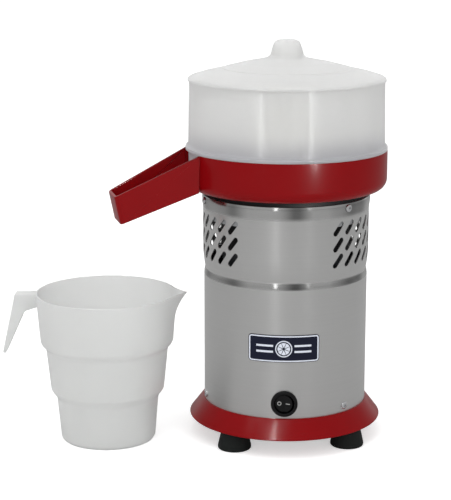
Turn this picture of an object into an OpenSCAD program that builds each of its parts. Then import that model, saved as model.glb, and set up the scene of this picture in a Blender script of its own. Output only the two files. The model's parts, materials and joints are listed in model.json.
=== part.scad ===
// Electric citrus juicer with its jug.
// Millimetres. The origin is on the drive axis at the surface that the feet stand on,
// +Z is up, the switch faces -Y and the spout points to -X.

/* [Feet] */
// Number of rubber feet
foot_count = 4; // [3:1:6]
// Height of a foot
foot_h = 20; // [14:0.5:30]
// Radius of a foot where it stands
foot_r = 15.2; // [12:0.1:18]
// Radius of a foot at its top
foot_top_r = 11; // [8:0.1:12]
// Height of the straight band at the bottom of a foot
foot_band = 3; // [1:0.5:6]
// How far a foot's middle stands in from the lower shell
foot_in = 2; // [1:0.1:6]
// Angle of the first foot from the front
foot_angle = 52; // [30:1:60]
// Radius of the foot screw
foot_screw_r = 2.5; // [1.5:0.1:3]
// Radius of the foot screw's head
foot_screw_head_r = 5; // [4:0.1:6]
// Height of the foot screw's head
foot_screw_head_h = 3; // [2:0.1:4]
// Depth of the foot screw's head inside the foot
foot_recess = 5; // [3.5:0.1:8]
// How far the foot screw reaches into the ring
foot_screw_bite = 10; // [6:0.5:11]

/* [Base ring] */
// How far the flared rim stands out past the feet
ring_over = 0.7; // [0.5:0.1:8]
// Height of the flared rim's lower edge
ring_rim_z = 17; // [12:0.5:19]
// Thickness of the flared rim
ring_edge = 3; // [2:0.1:4]
// Width of the step around the lower shell
ring_step = 2; // [1:0.1:3]
// Thickness of the web that the feet are screwed to
web_t = 4; // [3:0.1:6]
// How far the web reaches in from the thick part
web_ledge = 6; // [5:0.1:10]
// How far the thick part over the web reaches in from the feet's middles
boss_in = 7; // [6:0.1:9]
// Height of the thick part over the web
boss_h = 12; // [11:0.1:13]
// Height of the collar inside the lower shell
collar_h = 12; // [10:0.1:14]
// Thickness of the collar
collar_t = 3; // [2:0.1:4]
// Thickness of the base plate
plate_t = 2; // [1:0.1:3]
// Number of air slots in the base plate
plate_slots = 12; // [6:1:16]
// Width of an air slot
plate_slot_w = 5; // [3:0.5:8]
// Length of an air slot
plate_slot_l = 15; // [8:0.5:18]
// Distance from the axis to the middle of an air slot
plate_slot_at_r = 18; // [16:0.5:20]
// Number of base plate screws
plate_screw_count = 4; // [3:1:6]
// Radius of a base plate screw
plate_screw_r = 1.3; // [1:0.1:1.5]
// Radius of a base plate screw's head
plate_screw_head_r = 2.4; // [2:0.1:2.6]
// Height of a base plate screw's head
plate_screw_head_h = 1.5; // [1:0.1:2]
// How far a base plate screw reaches into the web
plate_screw_bite = 3; // [1.5:0.1:3.5]

/* [Shells] */
// Height at which the lower shell stands
shell_z = 34; // [32:0.5:36]
// Radius of the lower shell
shell_r = 75; // [73:0.1:76]
// Wall of both shells
shell_wall = 1; // [0.6:0.1:1.2]
// Height of the seam between the shells
seam_z = 158.5; // [150:0.5:164]
// How far the seam draws in from the lower shell
seam_in = 1; // [0.5:0.1:2]
// Height over which the lower shell draws in to the seam
neck_h = 6.5; // [4:0.5:10]
// How far the upper shell stands out from the lower shell
upper_out = 0.9; // [0:0.1:1.5]
// Height over which the upper shell swells from the seam
swell_h = 20.5; // [12:0.5:24]
// Height of the shoulder under the top edge
shoulder_z = 219.4; // [216:0.1:221]
// Height of the shoulder's slope
shoulder_h = 1.6; // [1:0.1:2]
// How far the top edge stands out from the upper shell
flare_out = 0.9; // [0.4:0.1:1.5]
// Height of the top edge
shell_top_z = 226.4; // [225:0.1:229]
// Height of the band that joins the shells from inside
band_h = 20; // [12:0.5:24]
// Thickness of that band
band_t = 1.2; // [0.8:0.1:2]
// Number of screws in each shell
shell_screw_count = 3; // [3:1:6]
// Angle of the first shell screw from the front
shell_screw_angle = 46; // [30:1:60]
// Radius of a shell screw
shell_screw_r = 1.5; // [1:0.1:2]
// Radius of a shell screw's head
shell_screw_head_r = 3.4; // [2.5:0.1:4]
// Height of a shell screw's head
shell_screw_head_h = 1.8; // [1:0.1:2.5]
// Height of the lower shell screws over the shell's edge
shell_screw_up = 5.8; // [5:0.1:7]
// Distance of the upper shell screws below the top edge
shell_screw_down = 4.2; // [3.8:0.1:4.6]

/* [Vents] */
// Height of the middle row of slots
vent_z = 190.2; // [186:0.5:196]
// Width of a slot
vent_w = 4.8; // [2:0.1:5.5]
// Length of a slot
vent_l = 15.2; // [10:0.1:16]
// Lean of the slots from upright
vent_lean = 40; // [0:1:45]
// Number of rows
vent_rows = 3; // [1:1:3]
// Distance between rows
vent_row_pitch = 14.5; // [13.5:0.1:16]
// Number of slots in a row on each side
vent_cols = 11; // [3:1:11]
// Angle between slots in a row
vent_col_angle = 10.4; // [10:0.1:11]

/* [Switch] */
// Height of the switch
switch_z = 48; // [47:0.5:56]
// Radius of the bezel
bezel_r = 12; // [11:0.1:13]
// How far the bezel stands out of the shell
bezel_t = 2.5; // [1.5:0.1:3]
// Radius of the bezel's opening
bezel_hole_r = 9; // [8:0.1:9.3]
// Radius of the barrel behind the bezel
barrel_r = 10; // [9.5:0.1:10.5]
// Depth of the barrel inside the shell
barrel_l = 24; // [18:0.5:28]
// Tilt of the rocker each way
rocker_tilt = 12; // [6:0.5:14]
// Thickness of the rocker
rocker_t = 7; // [5:0.5:8]
// Height of the marks on the rocker
mark_t = 0.2; // [0.1:0.05:0.4]
// Radius of the round mark
mark_r = 1.9; // [1:0.1:2.5]
// Width of the marks' lines
mark_w = 0.7; // [0.4:0.1:1]
// Distance of the marks from the rocker's middle
mark_x = 4.2; // [3.8:0.1:4.5]

/* [Cable inlet] */
// Height of the inlet
inlet_z = 52; // [48:0.5:60]
// Radius of the cable's bore
inlet_bore_r = 4; // [3:0.1:5]
// Radius of the threaded barrel
inlet_barrel_r = 8; // [7:0.1:9]
// Radius of the hexagon
inlet_hex_r = 11; // [10:0.1:12]
// Thickness of the hexagon outside the shell
inlet_hex_t = 5; // [4:0.5:7]
// Length of the cap behind the hexagon
inlet_cap_l = 10; // [6:0.5:14]
// Radius of the cap's end
inlet_cap_r = 6.5; // [6:0.1:7]
// Length of the barrel inside the shell
inlet_inside_l = 8; // [6:0.5:10]
// Thickness of the nut inside the shell
inlet_nut_t = 4; // [3:0.5:5]

/* [Label] */
// Height of the label's middle
label_z = 98.9; // [90:0.5:115]
// Sideways place of the label's middle
label_x = -0.8; // [-4:0.1:4]
// Width of the label
label_w = 63; // [40:0.5:80]
// Height of the label
label_h = 24.7; // [16:0.1:30]
// Thickness of the label
label_t = 0.6; // [0.4:0.1:1]
// Radius of the label's corners
label_corner = 3; // [2:0.1:5]
// Width of the label's pale border
border_w = 1.1; // [0.6:0.1:2]
// How far the border and the emblem stand out of the label
border_t = 0.2; // [0.1:0.05:0.4]
// Radius of the round emblem
emblem_r = 7.6; // [5:0.1:8]
// Number of segments in the emblem
emblem_segments = 8; // [6:1:10]
// Length of the stripes beside the emblem
stripe_l = 15; // [8:0.5:16]
// Height of the stripes
stripe_h = 1.8; // [1:0.1:2.5]

/* [Top cover] */
// Thickness of the cover
cover_t = 5; // [4.6:0.1:6]
// Height of the cover's skirt inside the shell
cover_skirt_h = 15; // [8:0.5:18]
// Thickness of the skirt
cover_skirt_t = 3; // [2:0.1:4]
// Radius of the hub around the shaft
hub_r = 17; // [15:0.1:18]
// Height of the hub over the cover
hub_h = 19.6; // [16:0.1:22]
// Radius of the shaft seal
seal_r = 14; // [12:0.1:14.5]
// Height of the shaft seal
seal_h = 6; // [4:0.5:8]
// Outer radius of the gasket under the bowl
gasket_r = 73; // [66:0.5:76]
// Width of the gasket
gasket_w = 8; // [5:0.5:12]
// Height of the gasket
gasket_h = 5.1; // [3:0.1:7]

/* [Motor] */
// Height of the underside of the stator
stator_z = 121; // [116:0.5:124]
// Length of the stator
stator_l = 55; // [45:0.5:56]
// Radius of the stator and the end bells
stator_r = 58; // [56:0.5:62]
// Radius of the stator's bore
stator_bore_r = 29; // [27:0.1:30]
// Number of winding slots
stator_slots = 12; // [6:1:18]
// Inner radius of the winding
winding_in_r = 33; // [32:0.1:34]
// Outer radius of the winding
winding_out_r = 47; // [40:0.1:47.5]
// Width of a winding slot
winding_slot_w = 6; // [4:0.1:8]
// Height of the winding over each end of the stator
winding_h = 14; // [8:0.5:15]
// Air gap between rotor and stator
air_gap = 0.5; // [0.3:0.1:1]
// Height of the rotor's end rings
end_ring_h = 8; // [4:0.5:10]
// Height of an end bell over the stator
bell_h = 25; // [24:0.5:26]
// Thickness of an end bell's wall
bell_t = 5; // [4:0.5:6]
// Radius of an end bell's bearing hub
bell_hub_r = 23; // [21:0.5:26]
// Height of the bearing hub over the end bell
bell_hub_h = 10; // [9.5:0.5:11]
// Thickness of the lip over a bearing
bell_lip = 2; // [1:0.1:3]
// Radius of an end bell's posts
bell_post_r = 4.4; // [3.5:0.1:4.5]
// Number of long bolts
bolt_count = 4; // [3:1:6]
// Radius of a long bolt
bolt_r = 2.5; // [2:0.1:3]
// Radius of a long bolt's head
bolt_head_r = 4.2; // [3.5:0.1:4.4]
// Height of a long bolt's head
bolt_head_h = 3.5; // [2:0.1:4]
// How far a long bolt reaches into the cover
bolt_bite = 4; // [3:0.1:4.3]
// Radius of a bearing
bearing_r = 17.5; // [16:0.1:18]
// Width of a bearing
bearing_w = 11; // [9:0.5:11]
// Radius of the shaft
shaft_r = 7.5; // [6.5:0.1:8]
// Height of the shaft's lower end
shaft_low_z = 64; // [62:0.5:66]
// Radius of the shaft's drive end
drive_r = 6; // [5:0.1:6.4]
// Height over the hub at which the drive end starts
drive_up = 4; // [2:0.5:4.5]
// Height of the shaft's top over the hub
shaft_up = 50; // [44:0.5:54]
// Height of the cross pin over the hub
pin_up = 22; // [20:0.5:26]
// Radius of the cross pin
pin_r = 2; // [1.5:0.1:2.5]
// Length of the cross pin
pin_l = 22; // [18:0.5:24]
// Height of the fan's disc
fan_z = 66; // [65:0.5:68]
// Radius of the fan
fan_r = 50; // [40:0.5:54]
// Height of the fan's blades
fan_blade_h = 12; // [8:0.5:13]
// Thickness of the fan's disc and blades
fan_t = 2; // [1.5:0.1:3]
// Number of fan blades
fan_blades = 9; // [5:1:12]
// Radius of the fan's hub
fan_hub_r = 13; // [11:0.5:15]
// Radius of the capacitor
capacitor_r = 15; // [12:0.5:16]
// Length of the capacitor
capacitor_l = 60; // [45:1:64]
// How far the capacitor's middle stands in from the ring's thick part
capacitor_in = 28; // [26:0.5:32]
// Thickness of the capacitor's clip
clip_t = 1.4; // [1:0.1:2]
// Width of the capacitor's clip
clip_w = 14; // [8:0.5:20]
// Length of the terminal block
terminal_l = 46; // [30:1:50]
// Depth of the terminal block
terminal_d = 18; // [12:0.5:20]
// Height of the terminal block
terminal_h = 14; // [10:0.5:18]
// Number of terminals
terminal_count = 5; // [3:1:6]
// Distance of the terminal block in front of the axis
terminal_y = 12; // [4:0.5:20]

/* [Bowl] */
// Radius of the bowl
bowl_r = 91.8; // [89:0.1:96]
// Height of the bowl
bowl_h = 35.8; // [32:0.1:40]
// Radius of the bowl's lower edge
bowl_edge_r = 10; // [6:0.5:12]
// Wall of the bowl
bowl_wall = 2.5; // [2:0.1:3]
// Thickness of the bowl's floor
bowl_floor = 4; // [3:0.1:4.5]
// Height of the bowl's central tower
tower_h = 30.5; // [27:0.1:32]
// Wall of the central tower
tower_wall = 2.7; // [2:0.1:3]
// Turn of the spout from the left side to the front
spout_turn = 16; // [0:1:30]
// How far the spout's tip reaches past the bowl
spout_reach = 70; // [58:0.1:78]
// How far inside the bowl's rim the spout's top meets it
spout_root_in = 3.8; // [2.8:0.1:5.8]
// Width of the spout at its root
spout_root_w = 57; // [48:0.5:64]
// Width of the spout at its tip
spout_tip_w = 36; // [30:0.5:40]
// Slope of the spout's top edge
spout_top_slope = 25.8; // [24:0.1:27]
// Slope of the spout's floor
spout_floor_slope = 21.8; // [20:0.1:23]
// Height of the spout's floor at its root over the bowl's underside
spout_floor_up = 2.4; // [2:0.1:4]
// Lean of the spout's end wall
spout_lean = 11.7; // [8:0.1:14]
// Radius of the spout's corners
spout_corner = 4.5; // [3:0.1:6]
// Wall of the spout
spout_wall = 2.5; // [2:0.1:3]
// Radius of the outlet in the spout's floor
outlet_r = 11; // [8:0.5:12]
// Distance from the spout's tip to the outlet's middle
outlet_back = 21; // [20:0.5:26]

/* [Strainer] */
// How far the strainer's skirt stands in from the bowl's flat floor
strainer_skirt_in = 1.8; // [1:0.1:6]
// Height of the strainer's skirt
strainer_skirt_h = 11; // [8:0.5:11.5]
// Thickness of the strainer
strainer_t = 1.5; // [1:0.1:2]
// Height of the strainer's collar over its plate
strainer_collar_h = 9.5; // [6:0.5:10]
// Number of juice gates in the strainer's skirt
strainer_gates = 12; // [8:1:14]
// Width of a juice gate
gate_w = 24; // [12:0.5:26]
// Number of hole rings in the plate
hole_rings = 4; // [2:1:5]
// Number of holes in the inner ring
hole_first = 16; // [10:1:18]
// Number of holes that each ring has more than the one inside it
hole_more = 8; // [4:1:8]
// Radius of a hole
hole_r = 1.8; // [1:0.1:2.2]
// Radius of the inner ring of holes
hole_ring_r = 34; // [32:0.5:36]
// Distance of the outer ring of holes from the skirt
hole_edge = 10; // [6:0.5:14]

/* [Reamer] */
// Radius of the reamer's foot
reamer_foot_r = 38; // [34:0.5:42]
// Radius of the reamer's cone at its base
reamer_r = 30; // [28:0.5:31]
// Height of the reamer's underside over the hub
reamer_up = 5; // [4.5:0.1:6]
// Height of the reamer
reamer_h = 67; // [60:0.5:69]
// Thickness of the reamer's foot
reamer_foot_t = 4; // [3:0.1:5]
// Number of ribs on the reamer
reamer_ribs = 8; // [6:1:12]
// Thickness of a rib
rib_t = 3; // [2:0.1:4]
// How far a rib stands out
rib_out = 4; // [2:0.1:5]
// Space under the reamer for the tower
reamer_hollow_r = 24.6; // [24:0.1:25]
// Height of that space
reamer_hollow_h = 13; // [12:0.1:14]

/* [Guard ring] */
// Height of the flange's edge
guard_flange_t = 3; // [2:0.1:4]
// Height of the slope from the flange to the wall
guard_blend_h = 3; // [2:0.1:5]
// How far the wall's foot stands in from the bowl's rim
guard_foot_in = 2.5; // [1.5:0.1:3]
// How far the wall's top stands in from the bowl's rim
guard_top_in = 3.5; // [3:0.1:4.5]
// Height of the guard ring over the bowl's rim
guard_h = 61.7; // [50:0.1:70]
// Wall of the guard ring
guard_wall = 2.2; // [1.5:0.1:2.5]
// Depth of the skirt inside the bowl
guard_skirt_h = 17; // [10:0.1:17.5]

/* [Lid] */
// How far the lid's rim stands over the guard ring's wall
lid_over = 1.2; // [0.5:0.1:2.5]
// Height of the lid's rim band
lid_band = 2; // [1:0.1:4]
// Height of the lid with its knob
lid_h = 36.5; // [30:0.1:42]
// Wall of the lid
lid_wall = 2; // [1.5:0.1:2.5]
// Depth of the lid's plug inside the guard ring
lid_plug_h = 9; // [5:0.5:12]

/* [Jug] */
// Place of the jug beside the juicer
jug_x = -163.3; // [-175:0.1:-155]
// Place of the jug before the axis
jug_y = -28; // [-45:0.5:0]
// Height of the jug
jug_h = 138; // [124:0.5:148]
// Radius of the jug's rim
jug_r = 64.5; // [60:0.1:66]
// Wall of the jug
jug_wall = 1.8; // [1.4:0.1:2.5]
// Reach of the pouring lip from the jug's axis
lip_reach = 74.3; // [70:0.1:76]
// Rise of the pouring lip over the rim
lip_rise = 0.6; // [0.4:0.1:5]
// Depth of the pouring lip
lip_depth = 26; // [18:0.5:34]
// Half width of the pouring lip at the rim
lip_half_w = 21; // [14:0.5:26]
// Radius of the pouring lip's tip
lip_tip_r = 4; // [3:0.1:6]
// Width of the handle
handle_w = 13; // [10:0.5:20]
// Reach of the handle's corner from the jug's axis
handle_corner_at = 83.5; // [78:0.1:88]
// Reach of the handle's tip from the jug's axis
handle_tip_at = 95.9; // [90:0.1:100]
// Drop of the handle's tip below its top
handle_drop = 55.6; // [44:0.1:66]
// Depth of the handle's top under the rim
handle_sink = 1.4; // [0.6:0.1:4]
// Thickness of the handle under its corner
handle_t = 6.9; // [5:0.1:9]

/* [Fits] */
// Gap between fixed pieces
fit_gap = 0.05; // [0.02:0.01:0.1]
// Gap around the turning shaft
run_gap = 0.05; // [0.03:0.01:0.09]
// Gap between pieces that lift off
slip_gap = 0.4; // [0.3:0.05:0.5]
// Gap around casings
case_gap = 0.2; // [0.1:0.05:0.4]
// Room around what passes through without touching
room = 1; // [0.5:0.1:2]
// Width of small chamfers
chamfer = 1; // [0.5:0.1:1.5]
// Overrun of every cut
cut = 1; // [0.5:0.1:2]

/* [Hidden] */
$fn = 96;
hull_steps = 32;
arc_steps = 6;
curve_steps = 5;

web_z = foot_h;
plate_z = web_z + web_t;
plate_top_z = plate_z + plate_t;
collar_r = shell_r - shell_wall - case_gap;
ring_top_r = shell_r + ring_step;
foot_circle_r = shell_r - foot_in;
ring_rim_r = foot_circle_r + foot_r + ring_over;
boss_r = foot_circle_r - boss_in;
web_hole_r = boss_r - web_ledge;
capacitor_y = boss_r - capacitor_in;
seam_r = shell_r - seam_in;
upper_r = shell_r + upper_out;
flare_r = upper_r + flare_out;
plate_r = boss_r - case_gap;
plate_screw_at_r = (web_hole_r + plate_r) / 2;
cover_r = upper_r - shell_wall - case_gap;
cover_flange_r = flare_r - shell_wall - case_gap;
cover_seat_z = shoulder_z + shoulder_h;
cover_under_z = shell_top_z - cover_t;
hub_top_z = shell_top_z + hub_h;
drive_z = hub_top_z + drive_up;
shaft_top_z = hub_top_z + shaft_up;
pin_z = hub_top_z + pin_up;
lower_screw_z = shell_z + shell_screw_up;
upper_screw_z = shell_top_z - shell_screw_down;
stator_top_z = stator_z + stator_l;
bolt_at_r = stator_r - bell_post_r - room;
bearing_from = bell_h + bell_hub_h - bell_lip - bearing_w;
bell_in_r = (winding_out_r + bolt_at_r - bolt_r) / 2;
rocker_r = bezel_hole_r - case_gap - rocker_t / 2 * sin(rocker_tilt);
rocker_y = -shell_r + bezel_t;
bowl_z = shell_top_z + gasket_h;
rim_z = bowl_z + bowl_h;
bowl_floor_z = bowl_z + bowl_floor;
bowl_in_r = bowl_r - bowl_wall;
tower_in_r = hub_r + slip_gap;
tower_r = tower_in_r + tower_wall;
tower_top_z = bowl_z + tower_h;
spout_l = bowl_r + spout_reach;
spout_root_at = bowl_r - spout_root_in;
spout_run = spout_l - spout_root_at;
spout_tip_z = rim_z - spout_run * tan(spout_top_slope);
spout_floor_z = bowl_z + spout_floor_up;
spout_taper = (spout_root_w - spout_tip_w) / 2 / spout_run;
strainer_r = bowl_in_r - slip_gap;
strainer_skirt_r = bowl_r - bowl_edge_r - strainer_skirt_in;
hole_ring_pitch = (strainer_skirt_r - hole_edge - hole_ring_r) / (hole_rings - 1);
strainer_z = bowl_floor_z + strainer_skirt_h;
strainer_top_z = strainer_z + strainer_t;
strainer_collar_r = tower_r + slip_gap;
reamer_z = hub_top_z + reamer_up;
reamer_top_z = reamer_z + reamer_h;
cone_z = reamer_z + reamer_foot_t;
guard_z = rim_z;
guard_top_z = guard_z + guard_h;
guard_low_r = bowl_r - guard_foot_in;
guard_top_r = bowl_r - guard_top_in;
guard_in_r = guard_low_r - guard_wall;
guard_skirt_r = bowl_in_r - slip_gap;
lid_r = guard_top_r + lid_over;
lid_plug_r = guard_top_r - guard_wall - slip_gap;
bezel_y = -shell_r - bezel_t;

// Outline of the lid, as shares of its radius and height
lid_shares = [
    [1, 0], [1, 0.055], [0.994, 0.082], [0.978, 0.096], [0.883, 0.175], [0.737, 0.262], [0.63, 0.31],
    [0.51, 0.4], [0.33, 0.495], [0.21, 0.57], [0.175, 0.61], [0.154, 0.68], [0.138, 0.87],
    [0.125, 0.93], [0.095, 0.975], [0.05, 0.995], [0, 1]
];
// Outline of the jug, as shares of its radius and height
jug_shares = [
    [0.65, 0], [0.668, 0.008], [0.678, 0.03], [0.727, 0.289], [0.742, 0.299], [0.79, 0.332],
    [0.81, 0.35], [0.865, 0.621], [0.88, 0.631], [0.93, 0.657], [0.944, 0.67], [1, 1]
];
// Where the pouring lip starts, and the heights of the finger gap and the handle's foot
lip_foot_share = 0.93;
finger_drop_share = 0.36;
finger_top_share = 0.295;
finger_corner_share = 1.35;
handle_foot_share = 0.25;
// Width of an emblem segment and places of the two rows of terminals
segment_share = 0.26;
terminal_shares = [0.27, 0.73];
// Outline of the reamer's cone, as shares of its radius and height
reamer_shares = [[1, 0], [0.98, 0.2], [0.9, 0.42], [0.74, 0.65], [0.5, 0.84], [0.22, 0.96], [0, 1]];

function flip(line) = [for (i = [len(line) - 1:-1:0]) line[i]];
function arc(at, r, from, to) =
    [for (i = [0:arc_steps]) let (a = from + (to - from) * i / arc_steps) at + r * [cos(a), sin(a)]];

// Outer line of the lower shell, moved in by a wall
function lower_line(in) = concat(
    [[shell_r - in, shell_z]],
    [for (i = [0:curve_steps]) let (t = i / curve_steps)
        [shell_r - in - (shell_r - seam_r) * t * t, seam_z - neck_h + neck_h * t]]
);

// Outer line of the upper shell, moved in by a wall
function upper_line(in) = concat(
    [for (i = [0:curve_steps]) let (t = 1 - i / curve_steps)
        [upper_r - in - (upper_r - seam_r) * t * t, seam_z + swell_h * (1 - t)]],
    [[upper_r - in, shoulder_z], [flare_r - in, cover_seat_z], [flare_r - in, shell_top_z]]
);

// Puts its children at equal steps around the axis, the first at an angle from the front
module around(count, first, r) {
    for (i = [0:count - 1])
        rotate([0, 0, first - 90 + i * 360 / count])
            translate([r, 0, 0])
                children();
}

// A rod along X that starts at x = 0 and points inwards
module inward_rod(r, l) {
    rotate([0, -90, 0])
        cylinder(r = r, h = l);
}

module tube(r, hole, h) {
    difference() {
        cylinder(r = r, h = h);
        translate([0, 0, -cut])
            cylinder(r = hole, h = h + 2 * cut);
    }
}

module foot(i) {
    color("#1e2222")
    rotate([0, 0, foot_angle - 90 - i * 360 / foot_count])
    translate([foot_circle_r, 0, 0])
    difference() {
        rotate_extrude()
            polygon([
                [0, 0], [foot_r - foot_band / 3, 0], [foot_r, foot_band / 3], [foot_r, foot_band],
                [foot_top_r + foot_band / 3, foot_h - foot_band], [foot_top_r, foot_h], [0, foot_h]
            ]);
        translate([0, 0, -cut])
            cylinder(r = foot_screw_r + fit_gap, h = foot_h + 2 * cut);
        translate([0, 0, -cut])
            cylinder(r = foot_screw_head_r + case_gap, h = foot_recess + foot_screw_head_h + cut);
    }
}

module foot_front_right() foot(0);
module foot_front_left() foot(1);
module foot_rear_left() foot(2);
module foot_rear_right() foot(3);

module foot_screws() {
    color("#8d9091")
    for (i = [0:foot_count - 1])
        rotate([0, 0, foot_angle - 90 - i * 360 / foot_count])
            translate([foot_circle_r, 0, foot_recess])
                union() {
                    cylinder(r = foot_screw_head_r, h = foot_screw_head_h);
                    cylinder(r = foot_screw_r, h = foot_h - foot_recess + foot_screw_bite);
                }
}

// Window in the collar for the barrel of the switch or the cable inlet
module collar_window(r, z, turn) {
    rotate([0, 0, turn])
        translate([-r, -shell_r, z - r])
            cube([2 * r, collar_t + 2 * cut + shell_wall, r + collar_h + boss_h]);
}

module base_ring() {
    color("#96202a")
    difference() {
        rotate_extrude()
            polygon([
                [web_hole_r, web_z], [ring_rim_r - ring_edge - chamfer, web_z],
                [ring_rim_r - ring_edge, ring_rim_z], [ring_rim_r - chamfer, ring_rim_z],
                [ring_rim_r, ring_rim_z + chamfer], [ring_top_r, shell_z - chamfer / 2],
                [ring_top_r - chamfer / 2, shell_z], [collar_r, shell_z], [collar_r, shell_z + collar_h],
                [collar_r - collar_t, shell_z + collar_h], [collar_r - collar_t, plate_z + boss_h],
                [boss_r, plate_z + boss_h], [boss_r, plate_z], [web_hole_r, plate_z]
            ]);
        for (i = [0:foot_count - 1])
            rotate([0, 0, foot_angle - 90 - i * 360 / foot_count])
                translate([foot_circle_r, 0, web_z - cut])
                    cylinder(r = foot_screw_r + fit_gap, h = foot_screw_bite + 2 * cut);
        around(shell_screw_count, shell_screw_angle, shell_r)
            translate([0, 0, lower_screw_z])
                inward_rod(shell_screw_r + fit_gap, collar_t + shell_wall + 2 * cut);
        around(plate_screw_count, 0, plate_screw_at_r)
            translate([0, 0, plate_z - plate_screw_bite])
                cylinder(r = plate_screw_r + fit_gap, h = plate_screw_bite + cut);
        collar_window(barrel_r + room, switch_z, 0);
        collar_window(inlet_hex_r + room, inlet_z, 180);
    }
}

module base_plate() {
    color("#b4b7b8")
    difference() {
        translate([0, 0, plate_z])
            cylinder(r = plate_r, h = plate_t);
        around(plate_slots, 0, plate_slot_at_r)
            translate([0, -plate_slot_w / 2, plate_z - cut])
                cube([plate_slot_l, plate_slot_w, plate_t + 2 * cut]);
        around(plate_screw_count, 0, plate_screw_at_r)
            translate([0, 0, plate_z - cut])
                cylinder(r = plate_screw_r + fit_gap, h = plate_t + 2 * cut);
    }
}

module base_plate_screws() {
    color("#8d9091")
    around(plate_screw_count, 0, plate_screw_at_r) {
        translate([0, 0, plate_top_z])
            cylinder(r = plate_screw_head_r, h = plate_screw_head_h);
        translate([0, 0, plate_z - plate_screw_bite])
            cylinder(r = plate_screw_r, h = plate_screw_bite + plate_t + plate_screw_head_h);
    }
}

module lower_shell() {
    color("#a9abab")
    difference() {
        rotate_extrude()
            polygon(concat(lower_line(0), flip(lower_line(shell_wall))));
        around(shell_screw_count, shell_screw_angle, shell_r + cut)
            translate([0, 0, lower_screw_z])
                inward_rod(shell_screw_r + fit_gap, shell_wall + 2 * cut);
        translate([0, 0, switch_z])
            rotate([90, 0, 0])
                cylinder(r = barrel_r + case_gap, h = shell_r + cut);
        translate([0, 0, inlet_z])
            rotate([-90, 0, 0])
                cylinder(r = inlet_barrel_r + case_gap, h = shell_r + cut);
    }
}

// One slot's outline: a bar with round ends
module vent_outline() {
    straight = vent_l - vent_w;
    square([vent_w, straight], center = true);
    for (side = [-1, 1])
        translate([0, side * straight / 2])
            circle(r = vent_w / 2, $fn = hull_steps);
}

module upper_shell() {
    color("#a9abab")
    difference() {
        rotate_extrude()
            polygon(concat(upper_line(0), flip(upper_line(shell_wall))));
        for (side = [-90, 90], col = [0:vent_cols - 1], row = [0:vent_rows - 1])
            rotate([0, 0, side + (col - (vent_cols - 1) / 2) * vent_col_angle])
                translate([0, -upper_r - cut, vent_z + (row - (vent_rows - 1) / 2) * vent_row_pitch])
                    rotate([-90, 0, 0])
                        linear_extrude(shell_wall + 3 * cut)
                            rotate([0, 0, vent_lean])
                                vent_outline();
        around(shell_screw_count, shell_screw_angle, flare_r + cut)
            translate([0, 0, upper_screw_z])
                inward_rod(shell_screw_r + fit_gap, shell_wall + 2 * cut);
    }
}

module shell_band() {
    color("#9a9c9c")
    translate([0, 0, seam_z - band_h / 2])
        tube(seam_r - shell_wall - fit_gap, seam_r - shell_wall - fit_gap - band_t, band_h);
}

// A screw whose head lies on a shell of radius r and which bites inwards
module shell_screw(bite) {
    translate([shell_screw_head_h, 0, 0])
        inward_rod(shell_screw_head_r, shell_screw_head_h);
    translate([shell_screw_head_h / 2, 0, 0])
        inward_rod(shell_screw_r, shell_screw_head_h / 2 + bite);
}

module lower_shell_screws() {
    color("#c8caca")
    around(shell_screw_count, shell_screw_angle, shell_r)
        translate([0, 0, lower_screw_z])
            shell_screw(collar_t + shell_wall);
}

module upper_shell_screws() {
    color("#c8caca")
    around(shell_screw_count, shell_screw_angle, flare_r)
        translate([0, 0, upper_screw_z])
            shell_screw(collar_t + shell_wall);
}

module top_cover() {
    color("#b0b2b2")
    difference() {
        rotate_extrude()
            polygon([
                [shaft_r + room, cover_under_z], [shaft_r + room, hub_top_z - seal_h],
                [seal_r + fit_gap, hub_top_z - seal_h], [seal_r + fit_gap, hub_top_z],
                [hub_r, hub_top_z], [hub_r, shell_top_z], [cover_flange_r, shell_top_z],
                [cover_flange_r, cover_seat_z], [cover_r, cover_seat_z],
                [cover_r, cover_under_z - cover_skirt_h],
                [cover_r - cover_skirt_t, cover_under_z - cover_skirt_h],
                [cover_r - cover_skirt_t, cover_under_z]
            ]);
        around(bolt_count, 0, bolt_at_r)
            translate([0, 0, cover_under_z - cut])
                cylinder(r = bolt_r + fit_gap, h = bolt_bite + cut + fit_gap);
        around(shell_screw_count, shell_screw_angle, flare_r)
            translate([0, 0, upper_screw_z])
                inward_rod(shell_screw_r + fit_gap, collar_t + shell_wall + cut);
    }
}

module shaft_seal() {
    color("#202224")
    translate([0, 0, hub_top_z - seal_h])
        tube(seal_r, shaft_r + run_gap, seal_h);
}

module bowl_gasket() {
    color("#17191a")
    translate([0, 0, shell_top_z])
        tube(gasket_r, gasket_r - gasket_w, gasket_h);
}

// An end bell that stands on the stator's end at z = 0
module end_bell(post_h) {
    difference() {
        union() {
            rotate_extrude()
                polygon([
                    [bell_in_r, 0], [stator_r, 0], [stator_r, bell_h], [bell_hub_r, bell_h],
                    [bell_hub_r, bell_h + bell_hub_h], [shaft_r + room, bell_h + bell_hub_h],
                    [shaft_r + room, bearing_from + bearing_w],
                    [bearing_r + fit_gap, bearing_from + bearing_w],
                    [bearing_r + fit_gap, bell_h - bell_t], [bell_in_r, bell_h - bell_t]
                ]);
            if (post_h > 0)
                around(bolt_count, 0, bolt_at_r)
                    translate([0, 0, bell_h - cut])
                        cylinder(r = bell_post_r, h = post_h + cut);
        }
        around(bolt_count, 0, bolt_at_r)
            translate([0, 0, -cut])
                cylinder(r = bolt_r + fit_gap, h = bell_h + post_h + 2 * cut);
        around(bolt_count, 180 / bolt_count, (bell_hub_r + bell_in_r) / 2)
            translate([0, 0, bell_h - bell_t - cut])
                cylinder(r = bell_t + room, h = bell_t + 2 * cut);
    }
}

module upper_end_bell() {
    color("#a3a6a8")
    translate([0, 0, stator_top_z])
        end_bell(cover_under_z - stator_top_z - bell_h);
}

module lower_end_bell() {
    color("#a3a6a8")
    translate([0, 0, stator_z])
        mirror([0, 0, 1])
            end_bell(0);
}

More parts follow.
